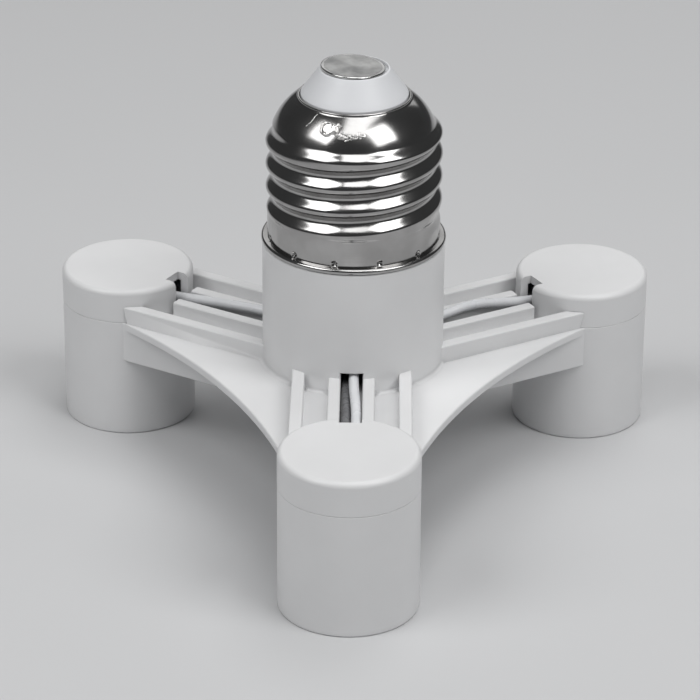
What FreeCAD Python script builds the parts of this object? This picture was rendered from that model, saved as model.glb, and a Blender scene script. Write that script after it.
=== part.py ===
import FreeCAD, Part
import math
import os
import re

import Sketcher

# Lamp socket adapter: a screw cap on a round stem feeds three small lamp sockets on a three-armed hub.
# Frame: the screw axis is Z, and the rims of the sockets stand on Z = 0. The front arm points along -Y.
# Everything on an arm is drawn on the front arm and turned about the screw axis to the other two.

SIZES = {
    # Hub and arms
    "arm_length": 41.3,  # screw axis to socket axis
    "plate_top": 19.4,  # height of the hub plate's top face, where the socket caps start
    "plate_thickness": 1.35,
    "waist_radius": 97.5,  # hollow sides of the hub, seen from above
    "waist_reach": 22.1,  # screw axis to the middle of a hollow side
    "rib_height": 2.75,  # ribs above the plate
    "beam_depth": 5.25,  # the outer ribs go on below the plate and stiffen the arm
    "outer_rib_inset": 1.3,  # the outer ribs' outer faces lie this far inside the barrel's width
    "outer_rib_thickness": 1.95,
    "channel_width": 3.3,  # wire channel between the inner ribs
    "inner_rib_thickness": 1.85,
    "inner_rib_gap": 0.4,  # the inner ribs stop this far short of the socket
    # Stem
    "stem_ledge": 0.75,  # the stem is this much wider than the skirt, all round
    "stem_height": 19.7,  # above the plate
    "stem_foot_chamfer": 0.6,
    "spigot_wall": 1.5,  # the spigot on top, which the screw shell is crimped on
    "window_height": 3.5,  # where the leads leave the stem
    # Sockets
    "barrel_wall": 2.85,  # round the sleeve
    "floor_thickness": 1.75,  # floor behind the sleeve, level with the plate's top face
    "mouth_gap": 0.35,  # round the sleeve's lip
    "mouth_depth": 4.0,
    "cap_height": 5.4,
    "cap_wall": 1.3,
    "cap_roof": 1.3,
    "cap_edge_radius": 0.9,
    "notch_width": 3.4,
    "notch_depth": 2.0,
    "collar_height": 1.0,  # ring on the plate that centres the cap
    "collar_wall": 0.9,
    # Threaded sleeve in each socket
    "sleeve_bore_radius": 7.05,
    "sleeve_sheet": 0.3,
    "sleeve_lip": 0.6,
    "sleeve_depth": 10.0,  # threaded stretch
    "neck_step": 0.95,  # the sleeve narrows behind the thread
    "seat_step": 0.2,  # and so does its seat, so the sleeve's shoulder stops there
    "tab_width": 2.4,
    "tab_rise": 2.2,  # above the plate, where the neutral lead is soldered
    "tab_turn": 40.0,  # degrees from the arm's middle line, one tab on each side of it
    # Contact tongue and its rivet
    "tongue_width": 3.6,
    "tongue_sheet": 0.4,
    "tongue_drop": 3.6,
    "tongue_reach": 2.0,
    "tongue_slope_start": 1.1,
    "rivet_offset": 2.9,  # socket axis to rivet axis, towards the hub
    "rivet_radius": 0.9,
    "rivet_head_radius": 1.5,
    "rivet_head_height": 0.5,
    # Screw shell, as on a standard large lamp cap
    "shell_sheet": 0.35,
    "flange_reach": 0.9,  # out from the skirt
    "flange_height": 0.4,
    "flange_slope": 0.5,  # height of the sloped face between the flange and the skirt
    "skirt_radius": 13.0,
    "skirt_height": 4.9,  # plain band, flange included
    "skirt_bore_height": 3.1,  # wide stretch inside the skirt, for the stem's spigot
    "skirt_bore_slope": 0.85,  # height of the slope from there to the bore inside the thread
    "crest_rise": 0.2,  # out from the skirt
    "thread_depth": 1.1,
    "thread_pitch": 3.63,
    "thread_band": 13.7,  # height of the threaded stretch
    "thread_start_turn": -46.0,  # degrees about the screw axis
    "groove_start": 4.6,  # middle of the groove's first end, from the shell's foot
    "groove_climb": 14.1,
    "outer_mouth_width": 2.9,
    "outer_floor_width": 1.0,
    "inner_mouth_width": 2.3,  # the same thread, seen from inside
    "inner_floor_width": 0.4,
    "crest_sheet": 0.4,  # left between a crest and the groove inside it
    "crest_slope": 0.7,  # height of the slope at each end of the crests
    "dome_rise": 4.4,
    "dome_radius": 9.1,
    "lip_inset": 4.0,  # in from the thread's roots
    "lip_height": 0.3,
    # Insulator and contact disc on the tip
    "cone_rise": 4.1,
    "cone_inset": 2.75,  # in from the lip to the cone's top edge
    "foot_inset": 1.75,  # in from the bore inside the thread to the insulator's foot
    "insulator_foot_height": 2.0,
    "insulator_bore_radius": 1.3,
    "disc_inset": 0.55,  # in from the cone's top edge
    "disc_height": 0.55,
    "disc_chamfer": 0.2,
    # Leads and splices
    "lead_radius": 0.75,
    "splice_radius": 3.0,
    "splice_height": 5.0,
    "splice_gap": 0.6,
    # Clearances
    "fit_gap": 0.1,  # between moulded or pressed pieces that slide together
    "lie_gap": 0.05,  # between pieces that lie on or end at one another
}

ARMS = {"front": 0, "right": 120, "left": 240}

# Sizes that follow from the ones above, as formulas in their names
PLATE_UNDER = "(plate_top - plate_thickness)"
FLOOR_UNDER = "(plate_top - floor_thickness)"
BEAM_UNDER = "(plate_top - plate_thickness - beam_depth)"
STEM_TOP = "(plate_top + stem_height)"
SPIGOT_TOP = "(plate_top + stem_height + skirt_bore_height - fit_gap)"
STEM_RADIUS = "(skirt_radius + stem_ledge)"
SPIGOT_RADIUS = "(skirt_radius - shell_sheet - fit_gap)"
STEM_BORE = "(skirt_radius - shell_sheet - fit_gap - spigot_wall)"
SLEEVE_OUTER = "(sleeve_bore_radius + sleeve_sheet)"
NECK_RADIUS = "(sleeve_bore_radius - neck_step)"
SEAT_RADIUS = "(sleeve_bore_radius + sleeve_sheet + fit_gap)"
MOUTH_RADIUS = "(sleeve_bore_radius + sleeve_sheet + sleeve_lip + mouth_gap)"
BARREL_RADIUS = "(sleeve_bore_radius + sleeve_sheet + fit_gap + barrel_wall)"
CAP_INNER = f"({BARREL_RADIUS} - cap_wall)"
RIB_OUT = f"({BARREL_RADIUS} - outer_rib_inset)"
RIB_IN = f"({BARREL_RADIUS} - outer_rib_inset - outer_rib_thickness)"
FLANGE_RADIUS = "(skirt_radius + flange_reach)"
CREST_RADIUS = "(skirt_radius + crest_rise)"
ROOT_RADIUS = "(skirt_radius + crest_rise - thread_depth)"
LIP_RADIUS = "(skirt_radius + crest_rise - thread_depth - lip_inset)"
CONE_TOP_RADIUS = f"({LIP_RADIUS} - cone_inset)"
DISC_RADIUS = f"({LIP_RADIUS} - cone_inset - disc_inset)"
FOOT_RADIUS = f"({ROOT_RADIUS} - shell_sheet - foot_inset)"
DOME_FOOT = "(plate_top + stem_height + skirt_height + thread_band)"
CONE_TOP = "(plate_top + stem_height + skirt_height + thread_band + dome_rise + lip_height + cone_rise)"
LEAD_REST = "(lead_radius + lie_gap)"

# Routes of the leads: reach from the screw axis, side of the arm, height over the plate
WINDOW_RUN = f"(window_height - {LEAD_REST} - fit_gap)"
LIVE_START = ("splice_radius + 0.6", "0.2", "1.4 * splice_height + splice_gap")
LIVE_END = ("arm_length - rivet_offset + 0.9", "0.5", f"rivet_head_height + {LEAD_REST}")
LIVE_MIDDLES = {
    "front": [
        (f"{STEM_BORE} - 1.25", "0.3", WINDOW_RUN),
        (f"{STEM_RADIUS} + 1.75", "0.3", "2.3"),
        ("0.53 * arm_length", "0.8", "1.6"),
        ("arm_length - 10.8", "0.75", "1.5"),
    ],
    "right": [
        (f"{STEM_BORE} - 1.25", "0.2", WINDOW_RUN),
        (f"{STEM_RADIUS} + 1.25", "0.3", "2.75"),
        ("0.52 * arm_length", "0.8", "3.5"),
        ("arm_length - 11.3", "0.5", "2.0"),
    ],
    "left": [
        (f"{STEM_BORE} - 1.25", "0.6", WINDOW_RUN),
        (f"{STEM_RADIUS} + 2.25", "0.8", "3.15"),
        ("0.57 * arm_length", "0.7", "2.6"),
        ("arm_length - 10.3", "0.4", "1.9"),
    ],
}
TAB_RUN = f"({NECK_RADIUS} - {LEAD_REST})"  # socket's axis to the stretch that lies on the tab
BEFORE_TAB = "(1.3 * tab_width + 0.35)"
PAST_TAB = "(tab_width / 2)"
NEUTRAL_ROUTE = [
    ("splice_radius + fit_gap", "-0.8", LEAD_REST),
    ("0.46 * arm_length", "-0.8", f"{LEAD_REST} + 0.1"),
    (
        f"arm_length - {TAB_RUN} * cos(tab_turn) - {BEFORE_TAB} * sin(tab_turn)",
        f"{BEFORE_TAB} * cos(tab_turn) - {TAB_RUN} * sin(tab_turn)",
        LEAD_REST,
    ),
    (
        f"arm_length - {TAB_RUN} * cos(tab_turn) + {PAST_TAB} * sin(tab_turn)",
        f"-{PAST_TAB} * cos(tab_turn) - {TAB_RUN} * sin(tab_turn)",
        LEAD_REST,
    ),
]
SPLICES_TOP = "(2 * splice_height + splice_gap)"
LIVE_TAIL = [
    ("0", "0", f"{SPLICES_TOP} + lie_gap"),
    ("-0.4", "0.9", f"{SPLICES_TOP} + 14"),
    ("0", "0", f"{DOME_FOOT} - plate_top + 0.3"),
    ("0", "0", f"{CONE_TOP} - plate_top - lie_gap"),
]
NEUTRAL_TAIL = [
    ("splice_radius + fit_gap", "0", "splice_height / 2"),
    (f"{STEM_BORE} - 2.75", "0.2", "splice_height / 2 + 0.7"),
    (f"{STEM_BORE} - 1.75", "0.3", "stem_height - 3.1"),
    (f"{STEM_BORE} - 1.45", "0", "stem_height + skirt_height + 3.5"),
    (f"{ROOT_RADIUS} - shell_sheet - {LEAD_REST} + 0.1", "0", "stem_height + skirt_height + 5.6"),
]

# Part of the shorter run that an arc takes up on each side of its corner
BEND_SHARE = 0.45

doc = FreeCAD.newDocument("lamp_socket_adapter")
sheet = doc.addObject("Spreadsheet::Sheet", "sizes")
for row, (alias, value) in enumerate(SIZES.items(), start=1):
    sheet.set(f"A{row}", alias)
    sheet.set(f"B{row}", str(value))
    sheet.setAlias(f"B{row}", alias)
doc.recompute()

Z_AXIS = FreeCAD.Vector(0, 0, 1)
pieces = []


def bound(formula):
    """A formula in the sizes' names, as an expression on the sheet."""
    return re.sub(r"[a-z_]+", lambda word: f"sizes.{word[0]}" if word[0] in SIZES else word[0], formula)


def number(formula):
    return float(sheet.evalExpression(bound(formula)))


def origin_part(body, role):
    return next(part for part in body.Origin.OriginFeatures if part.Role == role)


def new_body(label, turn=0, reach="0", height="0"):
    """A body whose origin lies at that reach along an arm and at that height, turned with the arm."""
    body = doc.addObject("PartDesign::Body", label)
    body.Label = label
    body.Placement = FreeCAD.Placement(FreeCAD.Vector(), FreeCAD.Rotation(Z_AXIS, turn))
    body.setExpression("Placement.Base.x", bound(f"({reach}) * sin({turn})"))
    body.setExpression("Placement.Base.y", bound(f"-({reach}) * cos({turn})"))
    body.setExpression("Placement.Base.z", bound(height))
    pieces.append(body)
    return body


def new_sketch(body, name, plane, height="0"):
    sketch = body.newObject("Sketcher::SketchObject", f"{body.Name}_{name}")
    sketch.AttachmentSupport = [(origin_part(body, plane), "")]
    sketch.MapMode = "FlatFace"
    sketch.setExpression("AttachmentOffset.Base.z", bound(height))
    return sketch


def fix(sketch, kind, formula, *where):
    """Hold one size of the sketch at a formula."""
    index = sketch.addConstraint(Sketcher.Constraint(kind, *where, number(formula)))
    sketch.setExpression(f"Constraints[{index}]", bound(formula))


def add_circle(sketch, x, y, radius):
    centre = FreeCAD.Vector(number(x), number(y), 0)
    circle = sketch.addGeometry(Part.Circle(centre, Z_AXIS, number(radius)), False)
    fix(sketch, "DistanceX", x, circle, 3)
    fix(sketch, "DistanceY", y, circle, 3)
    fix(sketch, "Radius", radius, circle)


def arc_through(start, end, radius):
    """The short arc from start to end. It bulges to the right of the way there if the radius is positive."""
    chord = end - start
    side = FreeCAD.Vector(-chord.y, chord.x, 0).normalize()
    away = math.sqrt(radius**2 - (chord.Length / 2) ** 2)
    centre = (start + end) / 2 + side * math.copysign(away, radius)
    middle = centre - side * radius
    return Part.Arc(start, middle, end)


def add_outline(sketch, corners):
    """A closed outline. A corner is (x, y), or (x, y, radius) where an arc leads on to the next corner."""
    spots = [FreeCAD.Vector(number(corner[0]), number(corner[1]), 0) for corner in corners]
    ends = []
    for corner, start, end in zip(corners, spots, spots[1:] + spots[:1]):
        if len(corner) == 2:
            edge = sketch.addGeometry(Part.LineSegment(start, end), False)
            ends.append((edge, 1, 2))
            continue
        edge = sketch.addGeometry(arc_through(start, end, number(corner[2])), False)
        forwards = sketch.getPoint(edge, 1).isEqual(start, 1e-6)
        ends.append((edge, 1, 2) if forwards else (edge, 2, 1))
    for (edge, _, last), (following, first, _) in zip(ends, ends[1:] + ends[:1]):
        sketch.addConstraint(Sketcher.Constraint("Coincident", edge, last, following, first))
    for corner, (edge, first, _) in zip(corners, ends):
        fix(sketch, "DistanceX", corner[0], edge, first)
        fix(sketch, "DistanceY", corner[1], edge, first)
        if len(corner) == 3:
            fix(sketch, "Radius", f"abs({corner[2]})", edge)


def add_box(sketch, left, right, low, high):
    add_outline(sketch, [(left, low), (right, low), (right, high), (left, high)])


def add_tab(sketch, socket_y, side, gap):
    """Section of a sleeve's tab, with a gap round it. It stands across the line from the socket's axis."""
    near = f"({NECK_RADIUS} - {gap})"
    far = f"({NECK_RADIUS} + sleeve_sheet + {gap})"
    half = f"(tab_width / 2 + {gap})"
    corners = [(near, -1), (far, -1), (far, 1), (near, 1)]
    outline = []
    for reach, way in corners[::side]:
        x = f"{side} * {reach} * sin(tab_turn) + {way} * {half} * cos(tab_turn)"
        y = f"{socket_y} + {reach} * cos(tab_turn) - {side} * {way} * {half} * sin(tab_turn)"
        outline.append((x, y))
    add_outline(sketch, outline)


def pad(sketch, length):
    feature = sketch.getParentGeoFeatureGroup().newObject("PartDesign::Pad", f"{sketch.Name}_pad")
    feature.Profile = sketch
    feature.setExpression("Length", bound(length))
    return feature


def pocket(sketch, depth):
    """Cut upwards from the sketch."""
    feature = sketch.getParentGeoFeatureGroup().newObject("PartDesign::Pocket", f"{sketch.Name}_cut")
    feature.Profile = sketch
    feature.Reversed = True
    feature.setExpression("Length", bound(depth))
    return feature


def revolve(sketch):
    feature = sketch.getParentGeoFeatureGroup().newObject("PartDesign::Revolution", f"{sketch.Name}_turned")
    feature.Profile = sketch
    feature.ReferenceAxis = (sketch, ["V_Axis"])
    feature.Angle = 360
    return feature


def on_each_arm(body, name, features):
    pattern = body.newObject("PartDesign::PolarPattern", f"{body.Name}_{name}")
    pattern.Originals = features
    pattern.Axis = (origin_part(body, "Z_Axis"), [""])
    pattern.Angle = 360
    pattern.Occurrences = len(ARMS)
    body.Tip = pattern
    return pattern


def make_housing():
    """One moulding: hub plate with hollow sides, ribs and beams, stem with spigot, and three barrels."""
    body = new_body("housing")

    plate = new_sketch(body, "plate", "XY_Plane", PLATE_UNDER)
    add_circle(plate, "0", "0", f"arm_length - {BARREL_RADIUS} + {MOUTH_RADIUS}")
    pad(plate, "plate_thickness")

    waist = new_sketch(body, "waist", "XY_Plane", PLATE_UNDER)
    add_circle(waist, "0", "waist_reach + waist_radius", "waist_radius")
    hollow = pocket(waist, "plate_thickness")
    on_each_arm(body, "waists", [hollow])

    barrel = new_sketch(body, "barrel", "XY_Plane")
    add_circle(barrel, "0", "-arm_length", BARREL_RADIUS)
    barrel_pad = pad(barrel, "plate_top")

    # Outer ribs and the beams below them are one wall each. They meet those of the next arm under the hub.
    walls = new_sketch(body, "walls", "XY_Plane", BEAM_UNDER)
    wall_end = f"-(arm_length - sqrt({BARREL_RADIUS} ^ 2 - {RIB_OUT} ^ 2))"
    wall_start = f"-{RIB_IN} / tan(60)"
    add_box(walls, RIB_IN, RIB_OUT, wall_end, wall_start)
    add_box(walls, f"-{RIB_OUT}", f"-{RIB_IN}", wall_end, wall_start)
    wall_pad = pad(walls, "beam_depth + plate_thickness + rib_height")

    channel = new_sketch(body, "channel", "XY_Plane", PLATE_UNDER)
    rib_end = f"-(arm_length - {BARREL_RADIUS} - inner_rib_gap)"
    rib_side = "(channel_width / 2 + inner_rib_thickness)"
    add_box(channel, "channel_width / 2", rib_side, rib_end, f"-{STEM_BORE}")
    add_box(channel, f"-{rib_side}", "-channel_width / 2", rib_end, f"-{STEM_BORE}")
    channel_pad = pad(channel, "plate_thickness + rib_height")
    on_each_arm(body, "arms", [barrel_pad, wall_pad, channel_pad])

    # Stem with a sloped foot and, on top, the spigot inside the screw shell's skirt
    stem = new_sketch(body, "stem", "XZ_Plane")
    add_outline(
        stem,
        [
            ("0", PLATE_UNDER),
            (f"{STEM_RADIUS} + stem_foot_chamfer", PLATE_UNDER),
            (f"{STEM_RADIUS} + stem_foot_chamfer", "plate_top"),
            (STEM_RADIUS, "plate_top + stem_foot_chamfer"),
            (STEM_RADIUS, STEM_TOP),
            (SPIGOT_RADIUS, STEM_TOP),
            (SPIGOT_RADIUS, SPIGOT_TOP),
            ("0", SPIGOT_TOP),
        ],
    )
    revolve(stem)

    bore = new_sketch(body, "bore", "XY_Plane", "plate_top")
    add_circle(bore, "0", "0", STEM_BORE)
    pocket(bore, f"{SPIGOT_TOP} - plate_top")

    # Room for the socket cap, and the collar that centres it
    cap_room = new_sketch(body, "cap_room", "XY_Plane", "plate_top")
    add_circle(cap_room, "0", "-arm_length", f"{BARREL_RADIUS} + fit_gap")
    cap_cut = pocket(cap_room, "cap_height")
    collar = new_sketch(body, "collar", "XY_Plane", "plate_top")
    add_circle(collar, "0", "-arm_length", f"{CAP_INNER} - fit_gap")
    add_circle(collar, "0", "-arm_length", f"{CAP_INNER} - fit_gap - collar_wall")
    collar_pad = pad(collar, "collar_height")

    # One straight cut opens the stem's window, the channel's floor and the gap in the collar
    way = new_sketch(body, "way", "XY_Plane", "plate_top")
    way_end = f"-(arm_length - {CAP_INNER} + 2 * collar_wall)"
    add_box(way, "-channel_width / 2", "channel_width / 2", way_end, f"-{STEM_BORE} + spigot_wall")
    way_cut = pocket(way, "window_height")

    end = new_sketch(body, "end", "XY_Plane")
    add_circle(end, "0", "-arm_length", f"{SEAT_RADIUS} - seat_step")
    end_cut = pocket(end, FLOOR_UNDER)
    seat = new_sketch(body, "seat", "XY_Plane")
    add_circle(seat, "0", "-arm_length", SEAT_RADIUS)
    seat_cut = pocket(seat, "mouth_depth + sleeve_depth + lie_gap")
    mouth = new_sketch(body, "mouth", "XY_Plane")
    add_circle(mouth, "0", "-arm_length", MOUTH_RADIUS)
    mouth_cut = pocket(mouth, "mouth_depth")

    holes = new_sketch(body, "holes", "XY_Plane", FLOOR_UNDER)
    add_circle(holes, "0", "-(arm_length - rivet_offset)", "rivet_radius + fit_gap")
    for side in (1, -1):
        add_tab(holes, "-arm_length", side, "fit_gap")
    hole_cut = pocket(holes, "floor_thickness")
    cuts = [cap_cut, collar_pad, way_cut, end_cut, seat_cut, mouth_cut, hole_cut]
    on_each_arm(body, "sockets", cuts)


def make_socket_cap(label, turn):
    """Cup that closes the wiring side of a socket, with a notch where the leads go in."""
    body = new_body(label, turn, "arm_length", "plate_top")

    cup = new_sketch(body, "cup", "XZ_Plane")
    add_outline(
        cup,
        [
            (CAP_INNER, "0"),
            (BARREL_RADIUS, "0"),
            (BARREL_RADIUS, "cap_height - cap_edge_radius", "cap_edge_radius"),
            (f"{BARREL_RADIUS} - cap_edge_radius", "cap_height"),
            ("0", "cap_height"),
            ("0", "cap_height - cap_roof"),
            (CAP_INNER, "cap_height - cap_roof"),
        ],
    )
    revolve(cup)

    notch = new_sketch(body, "notch", "XY_Plane")
    notch_end = f"{BARREL_RADIUS} - notch_depth"
    add_box(notch, "-notch_width / 2", "notch_width / 2", notch_end, f"{BARREL_RADIUS} + fit_gap")
    pocket(notch, "cap_height")


def make_sleeve(label, turn):
    """Drawn metal sleeve that takes the lamp's screw cap: a lip on the step in the mouth, a wide stretch for
    the thread, a neck up to the socket's floor, and two tabs through the floor."""
    body = new_body(label, turn, "arm_length")
    lip_under = "(mouth_depth - sleeve_sheet)"
    shoulder = "(mouth_depth - sleeve_sheet + sleeve_depth)"
    wall = new_sketch(body, "wall", "XZ_Plane")
    add_outline(
        wall,
        [
            ("sleeve_bore_radius", lip_under),
            (f"{SLEEVE_OUTER} + sleeve_lip", lip_under),
            (f"{SLEEVE_OUTER} + sleeve_lip", "mouth_depth"),
            (SLEEVE_OUTER, "mouth_depth"),
            (SLEEVE_OUTER, f"{shoulder} + sleeve_sheet"),
            (f"{NECK_RADIUS} + sleeve_sheet", f"{shoulder} + sleeve_sheet"),
            (f"{NECK_RADIUS} + sleeve_sheet", FLOOR_UNDER),
            (NECK_RADIUS, FLOOR_UNDER),
            (NECK_RADIUS, shoulder),
            ("sleeve_bore_radius", shoulder),
        ],
    )
    revolve(wall)

    tabs = new_sketch(body, "tabs", "XY_Plane", f"{FLOOR_UNDER} - sleeve_sheet")
    for side in (1, -1):
        add_tab(tabs, "0", side, "0")
    pad(tabs, "sleeve_sheet + floor_thickness + tab_rise")


def make_tongue(label, turn):
    """Springy strip under the socket's floor. The lamp's centre contact presses on its bent end."""
    body = new_body(label, turn, "arm_length", FLOOR_UNDER)
    side = new_sketch(body, "side", "YZ_Plane")
    back = "(rivet_offset + rivet_head_radius)"
    add_outline(
        side,
        [
            (back, "0"),
            (back, "-tongue_sheet"),
            ("tongue_slope_start", "-tongue_sheet"),
            ("-tongue_reach / 2", "-tongue_drop"),
            ("-tongue_reach", "-tongue_drop + tongue_sheet"),
            ("-tongue_reach + tongue_sheet", "-tongue_drop + 2 * tongue_sheet"),
            ("-tongue_reach / 2", "-tongue_drop + 1.5 * tongue_sheet"),
            ("tongue_slope_start + tongue_sheet / 2", "0"),
        ],
    )
    strip = pad(side, "tongue_width")
    strip.Midplane = True
    hole = new_sketch(body, "hole", "XY_Plane", "-tongue_sheet")
    add_circle(hole, "0", "rivet_offset", "rivet_radius + fit_gap")
    pocket(hole, "tongue_sheet")


def make_rivet(label, turn):
    """Rivet through the tongue and the socket's floor. The live lead ends on its upper head."""
    body = new_body(label, turn, "arm_length - rivet_offset", FLOOR_UNDER)
    half = new_sketch(body, "half", "XZ_Plane")
    add_outline(
        half,
        [
            ("0", "-tongue_sheet - rivet_head_height"),
            ("rivet_head_radius", "-tongue_sheet - rivet_head_height"),
            ("rivet_head_radius", "-tongue_sheet"),
            ("rivet_radius", "-tongue_sheet"),
            ("rivet_radius", "floor_thickness"),
            ("rivet_head_radius", "floor_thickness"),
            ("rivet_head_radius", "floor_thickness + rivet_head_height"),
            ("0", "floor_thickness + rivet_head_height"),
        ],
    )
    revolve(half)


def make_screw_shell():
    """Pressed shell of the screw cap: flange on the stem, plain skirt, thread, and a dome with a lip."""
    body = new_body("screw_shell", height=STEM_TOP)
    body.setExpression("Placement.Rotation.Angle", bound("thread_start_turn"))
    section = new_sketch(body, "section", "XZ_Plane")
    band_top = "(skirt_height + thread_band)"
    dome_top = "(skirt_height + thread_band + dome_rise)"
    skirt_inner = "(skirt_radius - shell_sheet)"
    bore = f"({ROOT_RADIUS} - shell_sheet)"
    add_outline(
        section,
        [
            (skirt_inner, "0"),
            (FLANGE_RADIUS, "0"),
            (FLANGE_RADIUS, "flange_height"),
            ("skirt_radius", "flange_height + flange_slope"),
            ("skirt_radius", "skirt_height"),
            (CREST_RADIUS, "skirt_height + crest_slope"),
            (CREST_RADIUS, f"{band_top} - crest_slope"),
            (ROOT_RADIUS, band_top, "dome_radius"),
            (f"{LIP_RADIUS} + shell_sheet", dome_top),
            (f"{LIP_RADIUS} + shell_sheet", f"{dome_top} + lip_height"),
            (LIP_RADIUS, f"{dome_top} + lip_height"),
            (LIP_RADIUS, f"{dome_top} - shell_sheet", "-dome_radius"),
            (bore, band_top),
            (bore, "skirt_bore_height + skirt_bore_slope"),
            (skirt_inner, "skirt_bore_height"),
        ],
    )
    revolve(section)

    # The groove outside and, half a pitch lower, the one inside leave a sheet of about even thickness
    mouth = f"({bore} - fit_gap)"
    crest_inner = f"({CREST_RADIUS} - crest_sheet)"
    cut_groove(body, "outer", "groove_start", ROOT_RADIUS, f"{CREST_RADIUS} + fit_gap")
    cut_groove(body, "inner", "(groove_start - thread_pitch / 2)", crest_inner, mouth)


def cut_groove(body, side, start, floor, mouth):
    """A helical groove. It starts at that height on the body's own X axis and climbs anticlockwise."""
    profile = new_sketch(body, f"{side}_groove", "XZ_Plane")
    corners = [
        (floor, f"{start} - {side}_floor_width / 2"),
        (mouth, f"{start} - {side}_mouth_width / 2"),
        (mouth, f"{start} + {side}_mouth_width / 2"),
        (floor, f"{start} + {side}_floor_width / 2"),
    ]
    add_outline(profile, corners)
    groove = body.newObject("PartDesign::SubtractiveHelix", f"{body.Name}_{side}_thread")
    groove.Profile = profile
    groove.ReferenceAxis = (profile, ["V_Axis"])
    groove.Mode = 0
    groove.setExpression("Pitch", bound("thread_pitch"))
    groove.setExpression("Height", bound("groove_climb"))


def make_insulator():
    """Moulded cone on the tip. Its foot sits under the shell's dome, and the live tail runs up its bore."""
    body = new_body("cap_insulator", height=DOME_FOOT)
    half = new_sketch(body, "half", "XZ_Plane")
    neck = f"({LIP_RADIUS} - fit_gap)"
    lip_top = "(dome_rise + lip_height)"
    add_outline(
        half,
        [
            ("insulator_bore_radius", "0"),
            (FOOT_RADIUS, "0"),
            (FOOT_RADIUS, "insulator_foot_height"),
            (neck, "insulator_foot_height"),
            (neck, lip_top),
            (CONE_TOP_RADIUS, f"{lip_top} + cone_rise"),
            ("insulator_bore_radius", f"{lip_top} + cone_rise"),
        ],
    )
    revolve(half)


def make_centre_contact():
    body = new_body("centre_contact", height=CONE_TOP)
    half = new_sketch(body, "half", "XZ_Plane")
    add_outline(
        half,
        [
            ("0", "0"),
            (DISC_RADIUS, "0"),
            (DISC_RADIUS, "disc_height - disc_chamfer"),
            (f"{DISC_RADIUS} - disc_chamfer", "disc_height"),
            ("0", "disc_height"),
        ],
    )
    revolve(half)


def make_splice(label, height):
    """Short crimped sleeve where the leads of one kind meet, inside the stem."""
    splice = doc.addObject("Part::Cylinder", label)
    splice.Label = label
    splice.setExpression("Radius", bound("splice_radius"))
    splice.setExpression("Height", bound("splice_height"))
    splice.setExpression("Placement.Base.z", bound(height))
    pieces.append(splice)


def bend_radius(before, corner, after):
    """The largest arc that the two runs at a corner leave room for."""
    half_turn = (corner - before).getAngle(after - corner) / 2
    return BEND_SHARE * min((corner - before).Length, (after - corner).Length) / math.tan(half_turn)


def lead_path(points):
    """Straight runs joined by arcs."""
    edges = []
    start = points[0]
    for before, corner, after in zip(points, points[1:], points[2:]):
        way_in = (corner - before).normalize()
        way_out = (after - corner).normalize()
        radius = bend_radius(before, corner, after)
        setback = radius * math.tan(way_in.getAngle(way_out) / 2)
        arc_start = corner - way_in * setback
        arc_end = corner + way_out * setback
        inward = (way_out - way_in).normalize()
        centre = corner + inward * math.hypot(radius, setback)
        edges.append(Part.LineSegment(start, arc_start).toShape())
        edges.append(Part.Arc(arc_start, centre - inward * radius, arc_end).toShape())
        start = arc_end
    edges.append(Part.LineSegment(start, points[-1]).toShape())
    return Part.Wire(edges)


def make_lead(label, route, turn=0, side=1):
    """Insulated lead along a route on an arm. Side -1 takes the route to the arm's other side."""
    plate = number("plate_top")
    points = []
    for reach, aside, height in route:
        points.append(FreeCAD.Vector(side * number(aside), -number(reach), plate + number(height)))
    path = lead_path(points)
    radius = number("lead_radius")
    section = Part.Wire([Part.makeCircle(radius, points[0], points[1] - points[0])])
    tube = path.makePipeShell([section], True, False)
    expected = math.pi * radius**2 * path.Length
    if abs(tube.Volume - expected) > 0.01 * expected:
        raise ValueError(f"{label} is {tube.Volume:.2f} cubic mm and not {expected:.2f}")
    bends = [bend_radius(*three) for three in zip(points, points[1:], points[2:])]
    print(f"{label}: bend radii {', '.join(f'{bend:.1f}' for bend in bends)} mm")
    lead = doc.addObject("Part::Feature", label)
    lead.Label = label
    lead.Shape = tube
    lead.Placement = FreeCAD.Placement(FreeCAD.Vector(), FreeCAD.Rotation(Z_AXIS, turn))
    pieces.append(lead)


make_housing()
for name, turn in ARMS.items():
    make_socket_cap(f"socket_cap_{name}", turn)
    make_sleeve(f"socket_sleeve_{name}", turn)
    make_tongue(f"contact_tongue_{name}", turn)
    make_rivet(f"tongue_rivet_{name}", turn)
    side = -1 if name == "left" else 1
    make_lead(f"live_lead_{name}", [LIVE_START, *LIVE_MIDDLES[name], LIVE_END], turn, side)
    make_lead(f"neutral_lead_{name}", NEUTRAL_ROUTE, turn, side)
make_screw_shell()
make_insulator()
make_centre_contact()
make_splice("neutral_splice", "plate_top")
make_splice("live_splice", "plate_top + splice_height + splice_gap")
make_lead("live_tail", LIVE_TAIL)
make_lead("neutral_tail", NEUTRAL_TAIL, 180)
doc.recompute()

for item in doc.Objects:
    if {"Invalid", "Error"} & set(item.State):
        raise RuntimeError(f"{item.Name} is {item.State}")
for piece in pieces:
    if piece.Shape.isNull() or not piece.Shape.isValid():
        raise RuntimeError(f"{piece.Label} has no valid shape")

os.makedirs("parts", exist_ok=True)
for piece in pieces:
    piece.Shape.exportStep(f"parts/{piece.Label}.step")
    print(f"{piece.Label}: {len(piece.Shape.Solids)} solid, {piece.Shape.Volume:.1f} cubic mm")
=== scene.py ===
"""Looks of the lamp socket adapter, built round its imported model.

The mouldings get rounded edges, the screw shell and the socket sleeves their pressed threads, and every
surface its finish. Lengths are in metres, and angles are anticlockwise from +X as seen from above.
"""

import math

import bmesh
import bpy
from bpy.props import FloatProperty, FloatVectorProperty, IntProperty, PointerProperty
from bpy.types import Operator, Panel, PropertyGroup
from mathutils import Matrix, Vector, noise


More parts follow.
